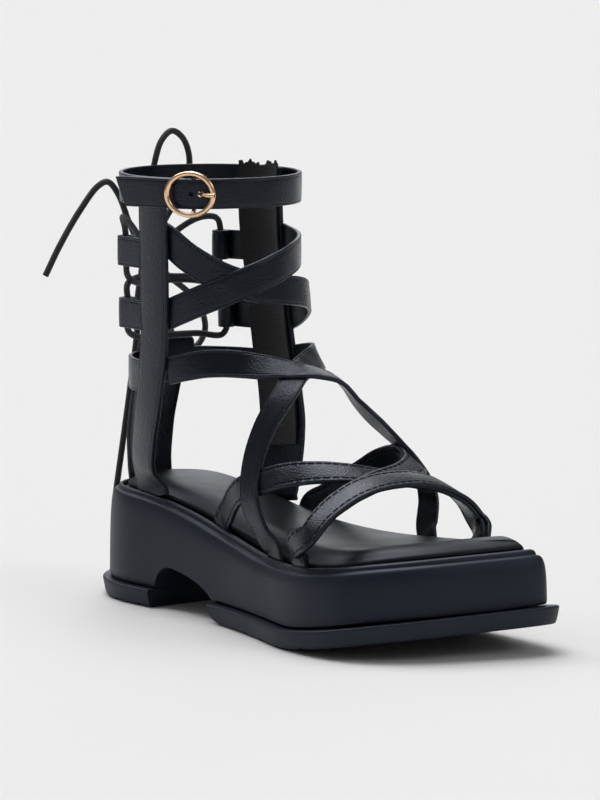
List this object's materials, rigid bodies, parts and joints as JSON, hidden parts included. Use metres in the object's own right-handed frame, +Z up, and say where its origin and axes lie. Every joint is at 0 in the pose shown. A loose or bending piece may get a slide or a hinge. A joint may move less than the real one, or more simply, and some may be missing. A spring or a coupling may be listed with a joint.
{
  "type": "gladiator sandal",
  "caption": "Black strappy gladiator sandal for the right foot with a buckled ankle strap, a zipped inner panel, a laced back and a notched platform sole.",
  "frame": {"origin": "on the floor, under the middle of the shoe's length and width, free lace left out", "axes": "+X to the toe, +Y to the inner side of the right foot, +Z up"},
  "size_m": [0.2587, 0.099, 0.2036],
  "materials": {
    "rubber": "matte moulded rubber",
    "insole_leather": "smooth, softly polished",
    "strap_leather": "smooth with a fine grain, semi-gloss",
    "gold_metal": "polished pale rose gold plate",
    "zip_cloth": "woven tape",
    "dark_metal": "dark plated",
    "lace": "round waxed cord"
  },
  "bodies": {
    "sandal": {"outsole_heel": "rubber", "outsole_forefoot": "rubber", "midsole": "rubber", "insole": "insole_leather", "upper": "strap_leather", "buckle_frame": "gold_metal", "buckle_prong": "gold_metal", "zip_chain": "zip_cloth", "zip_slider": "dark_metal", "lace_crossings": "lace", "lace_knot": "lace", "lace_loop_upper": "lace", "lace_loop_lower": "lace", "lace_end_outer": "lace", "lace_end_back": "lace"},
    "pull_tab": {"zip_pull": "dark_metal"}
  },
  "joints": [
    {"name": "pull_tab_swing", "type": "hinge", "parent": "sandal", "child": "pull_tab", "pos_m": [-0.07396, 0.0403, 0.1654], "axis": [0.9925, 0.1219, 0], "range_deg": [0, 120]}
  ]
}
